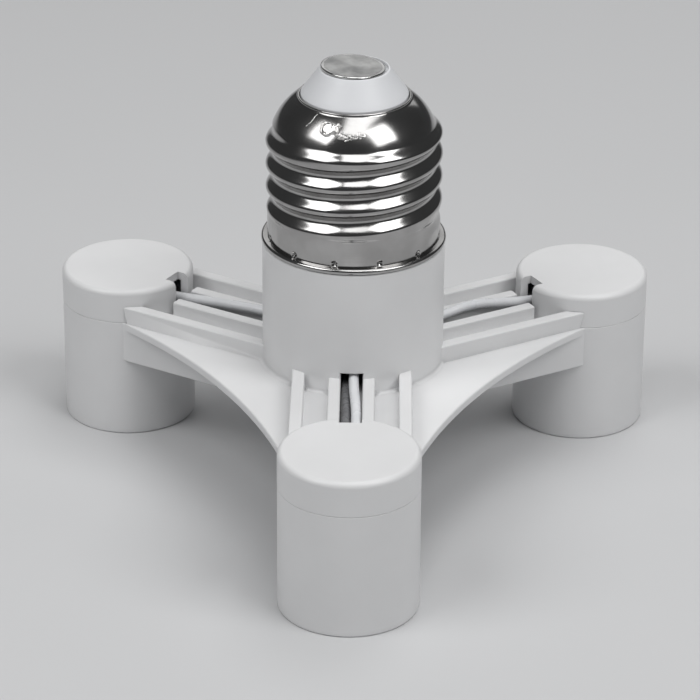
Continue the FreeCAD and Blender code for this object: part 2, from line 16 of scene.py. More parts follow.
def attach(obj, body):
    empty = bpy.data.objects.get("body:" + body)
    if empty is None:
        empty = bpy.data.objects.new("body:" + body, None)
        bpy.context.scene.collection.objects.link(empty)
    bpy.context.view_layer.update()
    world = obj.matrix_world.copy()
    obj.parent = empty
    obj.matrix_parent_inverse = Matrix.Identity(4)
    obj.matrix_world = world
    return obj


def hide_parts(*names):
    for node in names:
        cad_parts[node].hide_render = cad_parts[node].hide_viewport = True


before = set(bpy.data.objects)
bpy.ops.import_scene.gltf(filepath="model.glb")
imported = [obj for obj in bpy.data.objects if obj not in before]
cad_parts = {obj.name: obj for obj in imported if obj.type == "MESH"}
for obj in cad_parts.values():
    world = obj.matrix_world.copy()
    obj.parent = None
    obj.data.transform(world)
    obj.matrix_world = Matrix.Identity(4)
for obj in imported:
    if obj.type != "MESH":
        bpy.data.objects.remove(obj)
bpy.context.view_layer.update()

bl_info = {
    "name": "Lamp Socket Adapter",
    "version": (1, 0, 0),
    "blender": (4, 5, 0),
    "location": "View3D > Sidebar > Adapter",
    "description": "Finishes a lamp socket adapter and lights it",
    "category": "Object",
}

MM = 0.001

# Heights and radii that the solids fix
PLATE_TOP = 19.4 * MM
PLATE_UNDER = 18.05 * MM
RIB_OUTER_FACE = 9.0 * MM
STEM_TOP = 39.1 * MM
STEM_BORE = 11.2 * MM
STEM_RADIUS = 13.75 * MM
BARREL_RADIUS = 10.3 * MM
SOCKET_FLOOR = 17.65 * MM
SKIRT_RADIUS = 13.0 * MM
SKIRT_TOP = 44.0 * MM
CREST_RADIUS = 13.2 * MM
ROOT_RADIUS = 12.1 * MM
THREAD_TOP = 56.4 * MM
BEAD_CENTRE = (13.45 * MM, 39.55 * MM)
BEAD_RADIUS = 0.45 * MM
DOME_FOOT = 57.7 * MM
DOME_START = 58.2 * MM
DOME_CENTRE = (3.626 * MM, 54.384 * MM)
DOME_RADIUS = 9.1 * MM
LIP_CENTRE = (8.275 * MM, 62.225 * MM)
LIP_RADIUS = 0.175 * MM
CONE_TOP = 66.5 * MM
DISC_TOP = 67.05 * MM
SLEEVE_LIP_RADIUS = 7.95 * MM
SLEEVE_FOOT = 3.7 * MM
SLEEVE_SHOULDER = 13.7 * MM
SLEEVE_NECK_RADIUS = 6.1 * MM
SOCKET_REACH = 41.3 * MM

# Where the sockets stand round the stem, and the tabs round a sleeve, in degrees
SOCKETS = {"front": -90.0, "right": 30.0, "left": 150.0}
TAB_TURNS = (50, 130)

# How near a point has to be to another, or to a face, to count as on it
BARELY = 0.001 * MM
SAME_POINT = 0.05 * MM
ON_PLATE = 0.02 * MM
ON_WALL = 0.04 * MM
ON_SEAM = 0.08 * MM
ON_FACE = 0.1 * MM

# Limits that pick out the mouldings' edges and faces. The last two are for the Z of a face's normal.
RIM_FROM = 8.2 * MM
JOINT_MARGIN = 0.45 * MM
WEDGE_SHARE = 0.8
FLAT_UP_TO = math.radians(1)
ROUND_FROM = math.radians(30)
CRISP_FROM = math.radians(32)
WIDE_FACE_CORNERS = 60
LEVEL_FROM = 0.9999
WALL_UP_TO = 0.05

# The screw shell: heights over which its skirt goes into the thread and the thread into the dome, and the
# turns over which the groove fades in and out
SKIRT_BLEND = 0.7 * MM
DOME_BLEND = 1.5 * MM
GROOVE_FADE = 0.25

# Rows of its section: from, to, and how far apart at most
OUTER_ROWS = (
    (40.08 * MM, 41.3 * MM, 0.09 * MM),
    (41.3 * MM, 43.0 * MM, 0.4 * MM),
    (43.0 * MM, DOME_START, 0.165 * MM),
)
INNER_THREAD_ROWS = (57.9 * MM, 43.2 * MM, 0.33 * MM)
INNER_SKIRT_ROWS = (43.2 * MM, STEM_TOP + 0.6 * MM, 0.3 * MM)

# Its columns on both sides of a dent, in degrees, for 12 dents, and the other turned pieces' columns
DENT_COLUMNS = (-12, -9, -6.5, -4.5, -3.2, -2.4, -1.6, -0.8, 0, 0.8, 1.6, 2.4, 3.2, 4.5, 6.5, 9, 12, 15)
CONE_COLUMNS = 128
DISC_COLUMNS = 96
SLEEVE_COLUMNS = 96

# The solder's reach round the dome and up it, and its least height, all in millimetres
SOLDER_SPANS = ((-4.0, 6.2), (-1.7, 2.5))
SOLDER_FILM = 0.03

# How far the solder is sunk into the dome, and how thick it is below its surface
SOLDER_SUNK = 0.06 * MM
SOLDER_BACKING = 0.12 * MM

# Softboxes: side, place, width and height
SOFTBOXES = (
    ("Top", (0.08, -0.02, 0.75), 0.95, 0.32),
    ("Left", (-0.50, -0.30, 0.70), 0.46, 0.50),
    ("Right", (0.47, -0.36, 0.70), 0.46, 0.50),
    ("Back", (0.05, 0.80, 0.46), 1.00, 0.36),
)
SOFTBOX_AIM = (0, 0, 0.035)
FLOOR_RADIUS = 3.0
FLOOR_SIDES = 16
SENSOR_WIDTH = 36.0


# Mesh helpers


def socket_centre(arm):
    turn = math.radians(SOCKETS[arm])
    return Vector((SOCKET_REACH * math.cos(turn), SOCKET_REACH * math.sin(turn), 0))


def smooth_step(value):
    value = min(max(value, 0.0), 1.0)
    return value * value * (3 - 2 * value)


def arc(centre, radius, start, end, steps):
    """Points of an arc in the plane of a section, angles in degrees."""
    turns = [math.radians(start + (end - start) * step / steps) for step in range(steps + 1)]
    return [(centre[0] + radius * math.cos(turn), centre[1] + radius * math.sin(turn)) for turn in turns]


def evenly(start, end, step):
    """Values from start to end, at most that step apart, without the end itself."""
    count = max(1, math.ceil(abs(end - start) / step))
    return [start + (end - start) * index / count for index in range(count)]


def ring_faces(columns, rows):
    """Quads of a grid that closes on itself both ways."""
    faces = []
    for column in range(columns):
        here = column * rows
        after = (column + 1) % columns * rows
        for row in range(rows):
            above = (row + 1) % rows
            faces.append((here + row, after + row, after + above, here + above))
    return faces


def turned_ring(section, turns):
    """Vertices and faces of a closed section turned round Z. The section may change with the turn."""
    verts = []
    for turn in turns:
        for radius, height in section(turn):
            verts.append((radius * math.cos(turn), radius * math.sin(turn), height))
    return verts, ring_faces(len(turns), len(verts) // len(turns))


def turned_solid(section, columns):
    """Vertices and faces of a solid whose section starts and ends on the axis."""
    low, *middle, high = section
    verts = [(0, 0, low[1]), (0, 0, high[1])]
    for column in range(columns):
        turn = math.tau * column / columns
        verts.extend((radius * math.cos(turn), radius * math.sin(turn), height) for radius, height in middle)
    rows = len(middle)
    faces = []
    for column in range(columns):
        here = 2 + column * rows
        after = 2 + (column + 1) % columns * rows
        faces.append((0, after, here))
        faces.append((1, here + rows - 1, after + rows - 1))
        for row in range(rows - 1):
            faces.append((here + row, after + row, after + row + 1, here + row + 1))
    return verts, faces


def even_turns(columns):
    return [math.tau * column / columns for column in range(columns)]


def new_mesh(name, verts, faces, sharp_angle=45.0):
    """A smooth-shaded mesh whose normals point outwards. Edges above the sharp angle stay crisp."""
    mesh = bpy.data.meshes.new(name)
    mesh.from_pydata(verts, [], faces)
    work = bmesh.new()
    work.from_mesh(mesh)
    bmesh.ops.recalc_face_normals(work, faces=work.faces)
    work.to_mesh(mesh)
    work.free()
    mesh.shade_smooth()
    mesh.set_sharp_from_angle(angle=math.radians(sharp_angle))
    return mesh


def place_piece(name, mesh, material, slot, *nodes, matrix=None):
    """Show the mesh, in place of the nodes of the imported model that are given."""
    piece = bpy.data.objects.new(name, mesh)
    bpy.context.scene.collection.objects.link(piece)
    if not mesh.materials:
        mesh.materials.append(material)
    if matrix is not None:
        piece.matrix_world = matrix
    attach(piece, "root")
    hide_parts(*nodes)
    return piece


# Shader helpers


def new_group(name, inputs, outputs):
    """An empty shader group with named sockets, and its input and output nodes."""
    group = bpy.data.node_groups.new(name, "ShaderNodeTree")
    for label, kind, value in inputs:
        group.interface.new_socket(label, in_out="INPUT", socket_type=kind).default_value = value
    for label, kind in outputs:
        group.interface.new_socket(label, in_out="OUTPUT", socket_type=kind)
    start = add_node(group, "NodeGroupInput", -900, 0)
    end = add_node(group, "NodeGroupOutput", 600, 0)
    return group, start, end


def add_node(tree, kind, x, y, **settings):
    node = tree.nodes.new(kind)
    node.location = (x, y)
    for setting, value in settings.items():
        setattr(node, setting, value)
    return node


def scaled_place(group, scale, x=-700, y=0):
    """The object's own coordinates times a scale vector."""
    place = add_node(group, "ShaderNodeTexCoord", x, y)
    scaled = add_node(group, "ShaderNodeVectorMath", x + 180, y, operation="MULTIPLY")
    group.links.new(place.outputs["Object"], scaled.inputs[0])
    scaled.inputs[1].default_value = scale
    return scaled.outputs["Vector"]


def multiplied(tree, first, second, x, y):
    """The product of two values, kept within 0 and 1."""
    node = add_node(tree, "ShaderNodeMath", x, y, operation="MULTIPLY", use_clamp=True)
    tree.links.new(first, node.inputs[0])
    tree.links.new(second, node.inputs[1])
    return node.outputs["Value"]


def stretched_range(tree, value, low, high, x, y):
    """The value, with low to high stretched to 0 to 1."""
    node = add_node(tree, "ShaderNodeMapRange", x, y)
    node.inputs["From Min"].default_value = low
    node.inputs["From Max"].default_value = high
    tree.links.new(value, node.inputs["Value"])
    return node.outputs["Result"]


def noise_field(tree, place, x, y, **values):
    """A noise texture over that place, with values for its own sockets."""
    node = add_node(tree, "ShaderNodeTexNoise", x, y)
    for label, value in values.items():
        node.inputs[label].default_value = value
    tree.links.new(place, node.inputs["Vector"])
    return node


def build_mottle():
    """Slow drift between two close colours, as in moulded or plated surfaces."""
    group, start, end = new_group(
        "Mottle",
        [
            ("Color", "NodeSocketColor", (0.8, 0.8, 0.8, 1)),
            ("Second Color", "NodeSocketColor", (0.7, 0.7, 0.7, 1)),
            ("Patches per Metre", "NodeSocketFloat", 120.0),
        ],
        [("Color", "NodeSocketColor"), ("Patches", "NodeSocketFloat")],
    )
    link = group.links.new
    clouds = noise_field(group, scaled_place(group, (1, 1, 1)), -300, 0, Detail=4.0)
    link(start.outputs["Patches per Metre"], clouds.inputs["Scale"])
    patches = stretched_range(group, clouds.outputs["Fac"], 0.35, 0.65, -60, 0)
    mix = add_node(group, "ShaderNodeMix", 340, 100, data_type="RGBA")
    link(patches, mix.inputs["Factor"])
    link(start.outputs["Color"], mix.inputs["A"])
    link(start.outputs["Second Color"], mix.inputs["B"])
    link(mix.outputs["Result"], end.inputs["Color"])
    link(patches, end.inputs["Patches"])


def build_grain():
    """Fine even grain, as height."""
    group, start, end = new_group(
        "Fine Grain",
        [("Grains per Metre", "NodeSocketFloat", 2500.0), ("Stretch", "NodeSocketVector", (1, 1, 1))],
        [("Height", "NodeSocketFloat")],
    )
    link = group.links.new
    place = add_node(group, "ShaderNodeTexCoord", -700, -200)
    stretched = add_node(group, "ShaderNodeVectorMath", -500, -100, operation="MULTIPLY")
    link(place.outputs["Object"], stretched.inputs[0])
    link(start.outputs["Stretch"], stretched.inputs[1])
    grains = noise_field(group, stretched.outputs["Vector"], -200, 0, Detail=3.0, Roughness=0.6)
    link(start.outputs["Grains per Metre"], grains.inputs["Scale"])
    link(grains.outputs["Fac"], end.inputs["Height"])


def build_marks():
    """Hair-thin rub marks from handling, as a mask."""
    group, start, end = new_group(
        "Handling Marks",
        [("Marks per Metre", "NodeSocketFloat", 400.0), ("Share", "NodeSocketFloat", 0.5)],
        [("Mask", "NodeSocketFloat")],
    )
    where = noise_field(group, scaled_place(group, (1, 1, 1), -700, -250), -300, -250, Scale=90.0)
    spots = stretched_range(group, where.outputs["Fac"], 0.5, 0.62, -60, -250)
    along = scaled_place(group, (1.0, 0.12, 0.7), -700, 50)
    lines = noise_field(group, along, -300, 50, Detail=2.0, Distortion=0.4)
    group.links.new(start.outputs["Marks per Metre"], lines.inputs["Scale"])
    thin = stretched_range(group, lines.outputs["Fac"], 0.56, 0.6, -60, 50)
    both = multiplied(group, spots, thin, 160, 0)
    group.links.new(multiplied(group, both, start.outputs["Share"], 340, 0), end.inputs["Mask"])


def build_corner_shade():
    """Painted shade: a mask that darkens corners and creases where ambient occlusion finds them, broken up by
    noise.
    """
    group, start, end = new_group(
        "Corner Grime",
        [("Reach", "NodeSocketFloat", 0.0012), ("Share", "NodeSocketFloat", 0.5)],
        [("Mask", "NodeSocketFloat")],
    )
    # Painted shade: the occlusion of nearby surfaces sets how dark a corner gets
    shade = add_node(group, "ShaderNodeAmbientOcclusion", -500, 0, samples=6)
    group.links.new(start.outputs["Reach"], shade.inputs["Distance"])
    deep = stretched_range(group, shade.outputs["AO"], 0.75, 0.25, -260, 0)
    breakup = noise_field(group, scaled_place(group, (1, 1, 1), -700, -300), -260, -300, Scale=700.0)
    both = multiplied(group, deep, breakup.outputs["Fac"], 0, 0)
    group.links.new(multiplied(group, both, start.outputs["Share"], 200, 0), end.inputs["Mask"])


def shared_group(name):
    """The shader group of that name, built when it is first asked for."""
    builders = {
        "Mottle": build_mottle,
        "Fine Grain": build_grain,
        "Handling Marks": build_marks,
        "Corner Grime": build_corner_shade,
    }
    if name not in bpy.data.node_groups:
        builders[name]()
    return bpy.data.node_groups[name]


def use_group(tree, name, x, y, **values):
    node = add_node(tree, "ShaderNodeGroup", x, y, node_tree=shared_group(name))
    for label, value in values.items():
        node.inputs[label.replace("_", " ").title().replace(" Per ", " per ")].default_value = value
    return node


def with_alpha(color):
    return (*color[:3], 1.0)


def toned(color, share):
    """The colour with its channels times that share."""
    return [channel * share for channel in color[:3]]


def map_to(tree, value, low, high, x, y):
    """The value, 0 to 1, mapped to low to high."""
    mapped = add_node(tree, "ShaderNodeMapRange", x, y)
    mapped.inputs["To Min"].default_value = low
    mapped.inputs["To Max"].default_value = high
    tree.links.new(value, mapped.inputs["Value"])
    return mapped.outputs["Result"]


def new_material(name, color, **sockets):
    """A material with one Principled shader, whose plain values are set on its own sockets."""
    material = bpy.data.materials.new(name)
    material.use_nodes = True
    material.diffuse_color = with_alpha(color)
    tree = material.node_tree
    tree.nodes.clear()
    output = add_node(tree, "ShaderNodeOutputMaterial", 700, 0)
    shader = add_node(tree, "ShaderNodeBsdfPrincipled", 400, 0)
    tree.links.new(shader.outputs["BSDF"], output.inputs["Surface"])
    for label, value in sockets.items():
        shader.inputs[label.replace("_", " ")].default_value = value
    return material, tree, shader


def mottled(tree, color, second, patches):
    """Slow drift between the two colours, with so many patches to the metre."""
    colors = {"color": with_alpha(color), "second_color": with_alpha(second)}
    return use_group(tree, "Mottle", -500, 200, patches_per_metre=patches, **colors)


def set_roughness(tree, shader, value, low, high):
    """Map the value, 0 to 1, to the shader's roughness, low to high."""
    tree.links.new(map_to(tree, value, low, high, 160, -60), shader.inputs["Roughness"])


def patchy_finish(tree, shader, mottle, low, high):
    """The mottle's colour, with a roughness that goes from low to high in its patches."""
    tree.links.new(mottle.outputs["Color"], shader.inputs["Base Color"])
    set_roughness(tree, shader, mottle.outputs["Patches"], low, high)


def shade_corners(tree, shader, mottle, corner_shade, reach, share):
    """The mottle's colour, darkened in the corners towards the given colour by that share: painted shade."""
    corners = use_group(tree, "Corner Grime", -500, -60, reach=reach, share=share)
    # Painted shade: the corners take on the darker colour
    tint = add_node(tree, "ShaderNodeMix", 160, 200, data_type="RGBA")
    tree.links.new(corners.outputs["Mask"], tint.inputs["Factor"])
    tree.links.new(mottle.outputs["Color"], tint.inputs["A"])
    tint.inputs["B"].default_value = with_alpha(corner_shade)
    tree.links.new(tint.outputs["Result"], shader.inputs["Base Color"])


def grain_bump(tree, shader, grains, distance, strength, stretch=(1, 1, 1)):
    """Fine grain as a bump, with so many grains to the metre."""
    grain = use_group(tree, "Fine Grain", -500, -420, grains_per_metre=grains, stretch=stretch)
    bump = add_node(tree, "ShaderNodeBump", 160, -420)
    bump.inputs["Distance"].default_value = distance
    bump.inputs["Strength"].default_value = strength
    tree.links.new(grain.outputs["Height"], bump.inputs["Height"])
    tree.links.new(bump.outputs["Normal"], shader.inputs["Normal"])


def moulded_plastic(name, color, corner_shade, roughness):
    """Smooth moulded plastic: even, a little grain, faint rub marks, and painted shade in the corners."""
    material, tree, shader = new_material(name, color, Specular_IOR_Level=0.45)
    mottle = mottled(tree, color, toned(color, 0.955), patches=70.0)
    # Painted shade: corners darkened towards the given colour
    shade_corners(tree, shader, mottle, corner_shade, reach=1.4 * MM, share=0.5)
    marks = use_group(tree, "Handling Marks", -500, -220, marks_per_metre=900.0, share=0.6)
    set_roughness(tree, shader, marks.outputs["Mask"], low=roughness, high=roughness + 0.16)
    grain_bump(tree, shader, grains=1900.0, distance=0.02 * MM, strength=0.35)
    return material


def bright_plate(name, color, dull, line_stretch):
    """Bright plating over pressed sheet: fine drawn lines, soft stains, a few rub marks, and painted shade in
    its corners and grooves.
    """
    material, tree, shader = new_material(name, color, Metallic=1.0)
    mottle = mottled(tree, color, dull, patches=160.0)
    # Painted shade: corners and thread grooves darkened to a third of the stain colour
    shade_corners(tree, shader, mottle, toned(dull, 0.35), reach=0.9 * MM, share=0.9)
    marks = use_group(tree, "Handling Marks", -500, -220, marks_per_metre=700.0, share=0.8)
    wear = add_node(tree, "ShaderNodeMath", -100, -120, operation="MAXIMUM")
    tree.links.new(marks.outputs["Mask"], wear.inputs[0])
    tree.links.new(mottle.outputs["Patches"], wear.inputs[1])
    set_roughness(tree, shader, wear.outputs[0], low=0.11, high=0.2)
    grain_bump(tree, shader, grains=1500.0, distance=0.02 * MM, strength=0.25, stretch=line_stretch)
    return material


def set_solder(name, color, dull):
    """Solder as it set: bright, with duller patches and fine wrinkles."""
    material, tree, shader = new_material(name, color, Metallic=1.0)
    patchy_finish(tree, shader, mottled(tree, color, dull, patches=1100.0), low=0.24, high=0.42)
    grain_bump(tree, shader, grains=3200.0, distance=0.04 * MM, strength=0.6)
    return material


def dull_tin(name, color, dark, rim):
    """Tinned contact: mottled grey with a rubbed, uneven face, polished from the rim's radius on."""
    material, tree, shader = new_material(name, color, Metallic=1.0)
    link = tree.links.new
    mottle = mottled(tree, color, dark, patches=240.0)
    link(mottle.outputs["Color"], shader.inputs["Base Color"])
    reach = add_node(tree, "ShaderNodeVectorMath", -300, -60, operation="LENGTH")
    link(scaled_place(tree, (1, 1, 0), -700, -60), reach.inputs[0])
    polished = stretched_range(tree, reach.outputs["Value"], rim - 0.15 * MM, rim, -100, -60)
    rubbed = add_node(tree, "ShaderNodeMix", 160, -60, data_type="FLOAT")
    link(polished, rubbed.inputs["Factor"])
    link(map_to(tree, mottle.outputs["Patches"], 0.38, 0.54, -100, -300), rubbed.inputs["A"])
    rubbed.inputs["B"].default_value = 0.16
    link(rubbed.outputs["Result"], shader.inputs["Roughness"])
    grain_bump(tree, shader, grains=1400.0, distance=0.05 * MM, strength=0.5)
    return material


def sheet_brass(name, color, dull):
    """Plain rolled brass, a little tarnished."""
    material, tree, shader = new_material(name, color, Metallic=1.0)
    patchy_finish(tree, shader, mottled(tree, color, dull, patches=400.0), low=0.25, high=0.4)
    grain_bump(tree, shader, grains=1800.0, distance=0.02 * MM, strength=0.3, stretch=(0.1, 1, 1))
    return material


def lead_cover(name, color, shade):
    """Soft extruded insulation: smooth, with faint waves and a little colour drift."""
    material, tree, shader = new_material(name, color, Specular_IOR_Level=0.5)
    patchy_finish(tree, shader, mottled(tree, color, shade, patches=260.0), low=0.22, high=0.34)
    grain_bump(tree, shader, grains=1200.0, distance=0.03 * MM, strength=0.3)
    return material


# What a user would change


def length(name, description, default, **more):
    return FloatProperty(
        name=name, description=description, default=default, unit="LENGTH", precision=5, **more
    )


def finish_color(name, description, default):
    return FloatVectorProperty(
        name=name, description=description, default=default, subtype="COLOR", size=3, min=0.0, max=1.0
    )


def angle(name, description, degrees):
    return FloatProperty(name=name, description=description, default=math.radians(degrees), subtype="ANGLE")


def power(name, description, watts):
    return FloatProperty(name=name, description=description, default=watts, min=0.0, unit="POWER")


class MouldingSettings(PropertyGroup):
    color: finish_color("Plastic", "Colour of the housing and the caps", (0.78, 0.782, 0.787))
    # Colour of the painted shade laid into the mouldings' corners
    corner_shade: finish_color("Painted Shade", "Colour in the corners", (0.42, 0.42, 0.43))
    edge_round: length("Edge Round", "Radius of the moulded edges", 0.28 * MM, min=0.05 * MM, max=0.5 * MM)
    seam_round: length(
        "Seam Round", "Radius of the edges at the caps' joint line", 0.13 * MM, min=0.02 * MM, max=0.3 * MM
    )
    roughness: FloatProperty(
        name="Roughness",
        description="How dull the plastic is",
        default=0.36,
        min=0.0,
        max=1.0,
        subtype="FACTOR",
    )


class ShellSettings(PropertyGroup):
    color: finish_color("Plate", "Colour of the bright plating", (0.47, 0.465, 0.46))
    dull: finish_color("Stain", "Colour of the soft stains on the plating", (0.37, 0.365, 0.36))
    sheet: length("Sheet", "Thickness of the pressed sheet", 0.35 * MM)
    pitch: length("Pitch", "Height of one turn of the thread", 3.63 * MM)
    thread_foot: length("Thread Foot", "Height where the groove starts", 43.7 * MM)
    start_turn: angle("Start", "Angle where the groove starts", -46.0)
    groove_turns: FloatProperty(name="Turns", description="Turns of the groove", default=3.884)
    dents: IntProperty(name="Dents", description="Crimping dents round the skirt", default=12, min=3, max=24)
    dent_height: length("Dent Height", "Height of the dents' middle", 40.55 * MM)
    dent_radius: length("Dent Radius", "Radius of a dent", 0.55 * MM)
    dent_depth: length("Dent Depth", "Depth of a dent", 0.32 * MM)
    first_dent: angle("First Dent", "Angle of one dent", 198.0)


class SolderSettings(PropertyGroup):
    color: finish_color("Solder", "Colour of the bright solder", (0.74, 0.73, 0.72))
    dull: finish_color("Dull Solder", "Colour of the duller patches", (0.52, 0.51, 0.50))
    turn: angle("Turn", "Angle of the dab round the dome", -111.5)
    rise: angle("Rise", "Angle of the dab up the dome's arc", 43.5)
    grid: length("Grid", "Size of a face of the solder's surface", 0.08 * MM, min=0.04 * MM)


class TipSettings(PropertyGroup):
    insulator: finish_color("Insulator", "Colour of the cone", (0.74, 0.75, 0.77))
    contact: finish_color("Contact", "Colour of the centre contact", (0.72, 0.72, 0.71))
    contact_dark: finish_color("Contact Stain", "Colour of the contact's darker patches", (0.38, 0.38, 0.38))
    disc_radius: length("Disc Radius", "Radius of the centre contact", 4.8 * MM)
    disc_tilt: angle("Disc Tilt", "How far the contact leans to the right", 3.0)
    disc_shift: length("Disc Shift", "How far the contact sits to the left", 0.25 * MM)


class SocketSettings(PropertyGroup):
    bore: length("Bore", "Radius of the sleeves inside the thread's valleys", 7.05 * MM)
    sheet: length("Sheet", "Thickness of the sleeves", 0.3 * MM)
    pitch: length("Pitch", "Height of one turn of the thread", 2.822 * MM)
    thread_depth: length("Thread Depth", "How far the thread's ridges stand in", 0.7 * MM)
    brass: finish_color("Brass", "Colour of the contact tongues, rivets and splices", (0.72, 0.56, 0.29))
    brass_dull: finish_color("Tarnish", "Colour of the tarnished patches", (0.50, 0.38, 0.20))


class LeadSettings(PropertyGroup):
    white: finish_color("Live Leads", "Colour of the white leads", (0.78, 0.79, 0.81))
    dark: finish_color("Neutral Leads", "Colour of the dark leads", (0.12, 0.12, 0.125))


class StageSettings(PropertyGroup):
    floor: finish_color("Floor", "Colour of the floor", (0.61, 0.613, 0.62))
    world: finish_color("Surround", "Colour of the room round the stage", (0.06, 0.061, 0.062))
    top_power: power("Top Box", "Power of the softbox above", 2.4)
    left_power: power("Left Box", "Power of the softbox on the left", 2.8)
    right_power: power("Right Box", "Power of the softbox on the right", 3.15)
    back_power: power("Back Box", "Power of the softbox behind", 0.9)
    lens: FloatProperty(name="Lens", description="Focal length", default=178.66, unit="CAMERA")
    distance: length("Distance", "Camera to target", 530 * MM)
    target: FloatVectorProperty(
        name="Target",
        description="What the camera looks at",
        default=(-0.41 * MM, -0.84 * MM, 20.65 * MM),
        subtype="XYZ",
        unit="LENGTH",
    )
    azimuth: angle("Azimuth", "Camera's turn about Z from the front", 0.569)
    elevation: angle("Elevation", "Camera's height angle", 26.139)
    roll: angle("Roll", "Camera's roll", 0.4)


# Housing and caps


def socket_reach(spot):
    """Distance from the nearest socket's axis."""
    return min((spot - socket_centre(arm)).xy.length for arm in SOCKETS)


def is_moulded_edge(middle):
    """Whether an edge there, on the housing, shows and is clear of the joint with a barrel."""
    if middle.z > STEM_TOP + ON_FACE or middle.xy.length < STEM_BORE:
        return False
    on_rim = middle.z < ON_FACE and socket_reach(middle) > RIM_FROM
    return on_rim or socket_reach(middle) > BARREL_RADIUS + JOINT_MARGIN


def plate_room(middle):
    """Width of the plate between its edge there and the outer rib next to it."""
    if min(abs(middle.z - PLATE_TOP), abs(middle.z - PLATE_UNDER)) > ON_PLATE:
        return math.inf
    arm = min(SOCKETS, key=lambda name: (middle - socket_centre(name)).xy.length)
    along = socket_centre(arm).normalized()
    aside = abs(along.x * middle.y - along.y * middle.x)
    return aside - RIB_OUTER_FACE if aside > RIB_OUTER_FACE + BARELY else math.inf


def is_seam_edge(middle):
    """Whether an edge there is on the joint line between a barrel and its cap."""
    away = abs(socket_reach(middle) - BARREL_RADIUS)
    return abs(middle.z - PLATE_TOP) < ON_PLATE and away < ON_SEAM


def with_modifier(mesh, kind, values):
    """The mesh as that modifier leaves it."""
    carrier = bpy.data.objects.new("Carrier", mesh)
    bpy.context.scene.collection.objects.link(carrier)
    modifier = carrier.modifiers.new(kind, kind)
    for setting, value in values.items():
        setattr(modifier, setting, value)
    graph = bpy.context.evaluated_depsgraph_get()
    changed = bpy.data.meshes.new_from_object(carrier.evaluated_get(graph), depsgraph=graph)
    bpy.data.objects.remove(carrier)
    bpy.data.meshes.remove(mesh)
    return changed


def true_normals(mesh):
    """Make level faces, the stem's wall and the barrels' walls shade as true planes and cylinders.

    Level faces get upright normals. Those on the walls point straight away from the wall's axis.
    """
    walls = [(Vector((0, 0, 0)), STEM_RADIUS)]
    walls += [(socket_centre(arm), BARREL_RADIUS) for arm in SOCKETS]
    normals = [corner.vector.copy() for corner in mesh.corner_normals]
    for face in mesh.polygons:
        if abs(face.normal.z) > LEVEL_FROM:
            for loop in face.loop_indices:
                normals[loop] = face.normal.copy()
        if abs(face.normal.z) > WALL_UP_TO:
            continue
        corners = [mesh.vertices[index].co for index in face.vertices]
        for axis, radius in walls:
            if all(abs((corner - axis).xy.length - radius) < ON_WALL for corner in corners):
                for loop, corner in zip(face.loop_indices, corners):
                    normals[loop] = Vector((corner.x - axis.x, corner.y - axis.y, 0)).normalized()
    mesh.normals_split_custom_set(normals)


def rounded_moulding(name, node, shows, settings, material):
    """The node's shape with the edges that show rounded, and those at the joint line a little."""
    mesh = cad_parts[node].data.copy()
    mesh.name = name
    mesh.materials.clear()
    work = bmesh.new()
    work.from_mesh(mesh)
    bmesh.ops.remove_doubles(work, verts=work.verts, dist=SAME_POINT)
    bmesh.ops.dissolve_limit(work, angle_limit=FLAT_UP_TO, verts=work.verts, edges=work.edges)
    wide = [face for face in work.faces if len(face.verts) > WIDE_FACE_CORNERS]
    bmesh.ops.triangulate(work, faces=wide, quad_method="BEAUTY", ngon_method="BEAUTY")
    weights = work.edges.layers.float.new("bevel_weight_edge")
    for edge in work.edges:
        if not edge.is_manifold or not edge.is_convex or edge.calc_face_angle() < ROUND_FROM:
            continue
        middle = (edge.verts[0].co + edge.verts[1].co) / 2
        if is_seam_edge(middle):
            edge[weights] = settings.seam_round / settings.edge_round
        elif shows(middle):
            edge[weights] = min(WEDGE_SHARE * plate_room(middle) / settings.edge_round, 1.0)
    work.to_mesh(mesh)
    work.free()
    bevel = {
        "limit_method": "WEIGHT",
        "width": settings.edge_round,
        "segments": 3,
        "use_clamp_overlap": False,
        "miter_outer": "MITER_ARC",
    }
    mesh = with_modifier(mesh, "BEVEL", bevel)
    mesh.shade_smooth()
    mesh.set_sharp_from_angle(angle=CRISP_FROM)
    mesh = with_modifier(mesh, "WEIGHTED_NORMAL", {"keep_sharp": True})
    true_normals(mesh)
    mesh.name = name
    return place_piece(name, mesh, material, "housing", node)


class ADAPTER_OT_mouldings(Operator):
    """Round the edges of the housing and the socket caps, and give them moulded plastic"""

    bl_idname = "adapter.mouldings"
    bl_label = "Housing and Caps"

    def execute(self, context):
        settings = context.scene.adapter_moulding
        # The plastic's second colour is the painted shade in its corners
        plastic = moulded_plastic("White moulded plastic", settings.color, settings.corner_shade, settings.roughness)
        rounded_moulding("housing_moulding", "housing", is_moulded_edge, settings, plastic)
        for arm in SOCKETS:
            name = f"socket_cap_moulding_{arm}"
            rounded_moulding(name, f"socket_cap_{arm}", lambda middle: False, settings, plastic)
        return {"FINISHED"}


# Screw shell


def dome_outline(height):
    """Outer radius of the dome at a height."""
    return DOME_CENTRE[0] + math.sqrt(DOME_RADIUS**2 - (height - DOME_CENTRE[1]) ** 2)


def shell_outline(height):
    """Outer radius of the shell at a height, as it would be with no groove."""
    if height < SKIRT_TOP:
        return SKIRT_RADIUS
    if height < THREAD_TOP:
        return SKIRT_RADIUS + (CREST_RADIUS - SKIRT_RADIUS) * smooth_step((height - SKIRT_TOP) / SKIRT_BLEND)
    onto_dome = smooth_step((height - THREAD_TOP) / DOME_BLEND)
    return CREST_RADIUS + (dome_outline(height) - CREST_RADIUS) * onto_dome


def groove_depth(height, turn, settings):
    """How deep the helical groove is there, before it is limited by the outline."""
    part_turn = (turn - settings.start_turn) % math.tau / math.tau
    along = (height - settings.thread_foot) / settings.pitch - part_turn
    lap = round(along)
    done = lap + part_turn
    fade = smooth_step(done / GROOVE_FADE) * smooth_step((settings.groove_turns - done) / GROOVE_FADE)
    return fade * (1 + math.cos(math.tau * (along - lap))) / 2


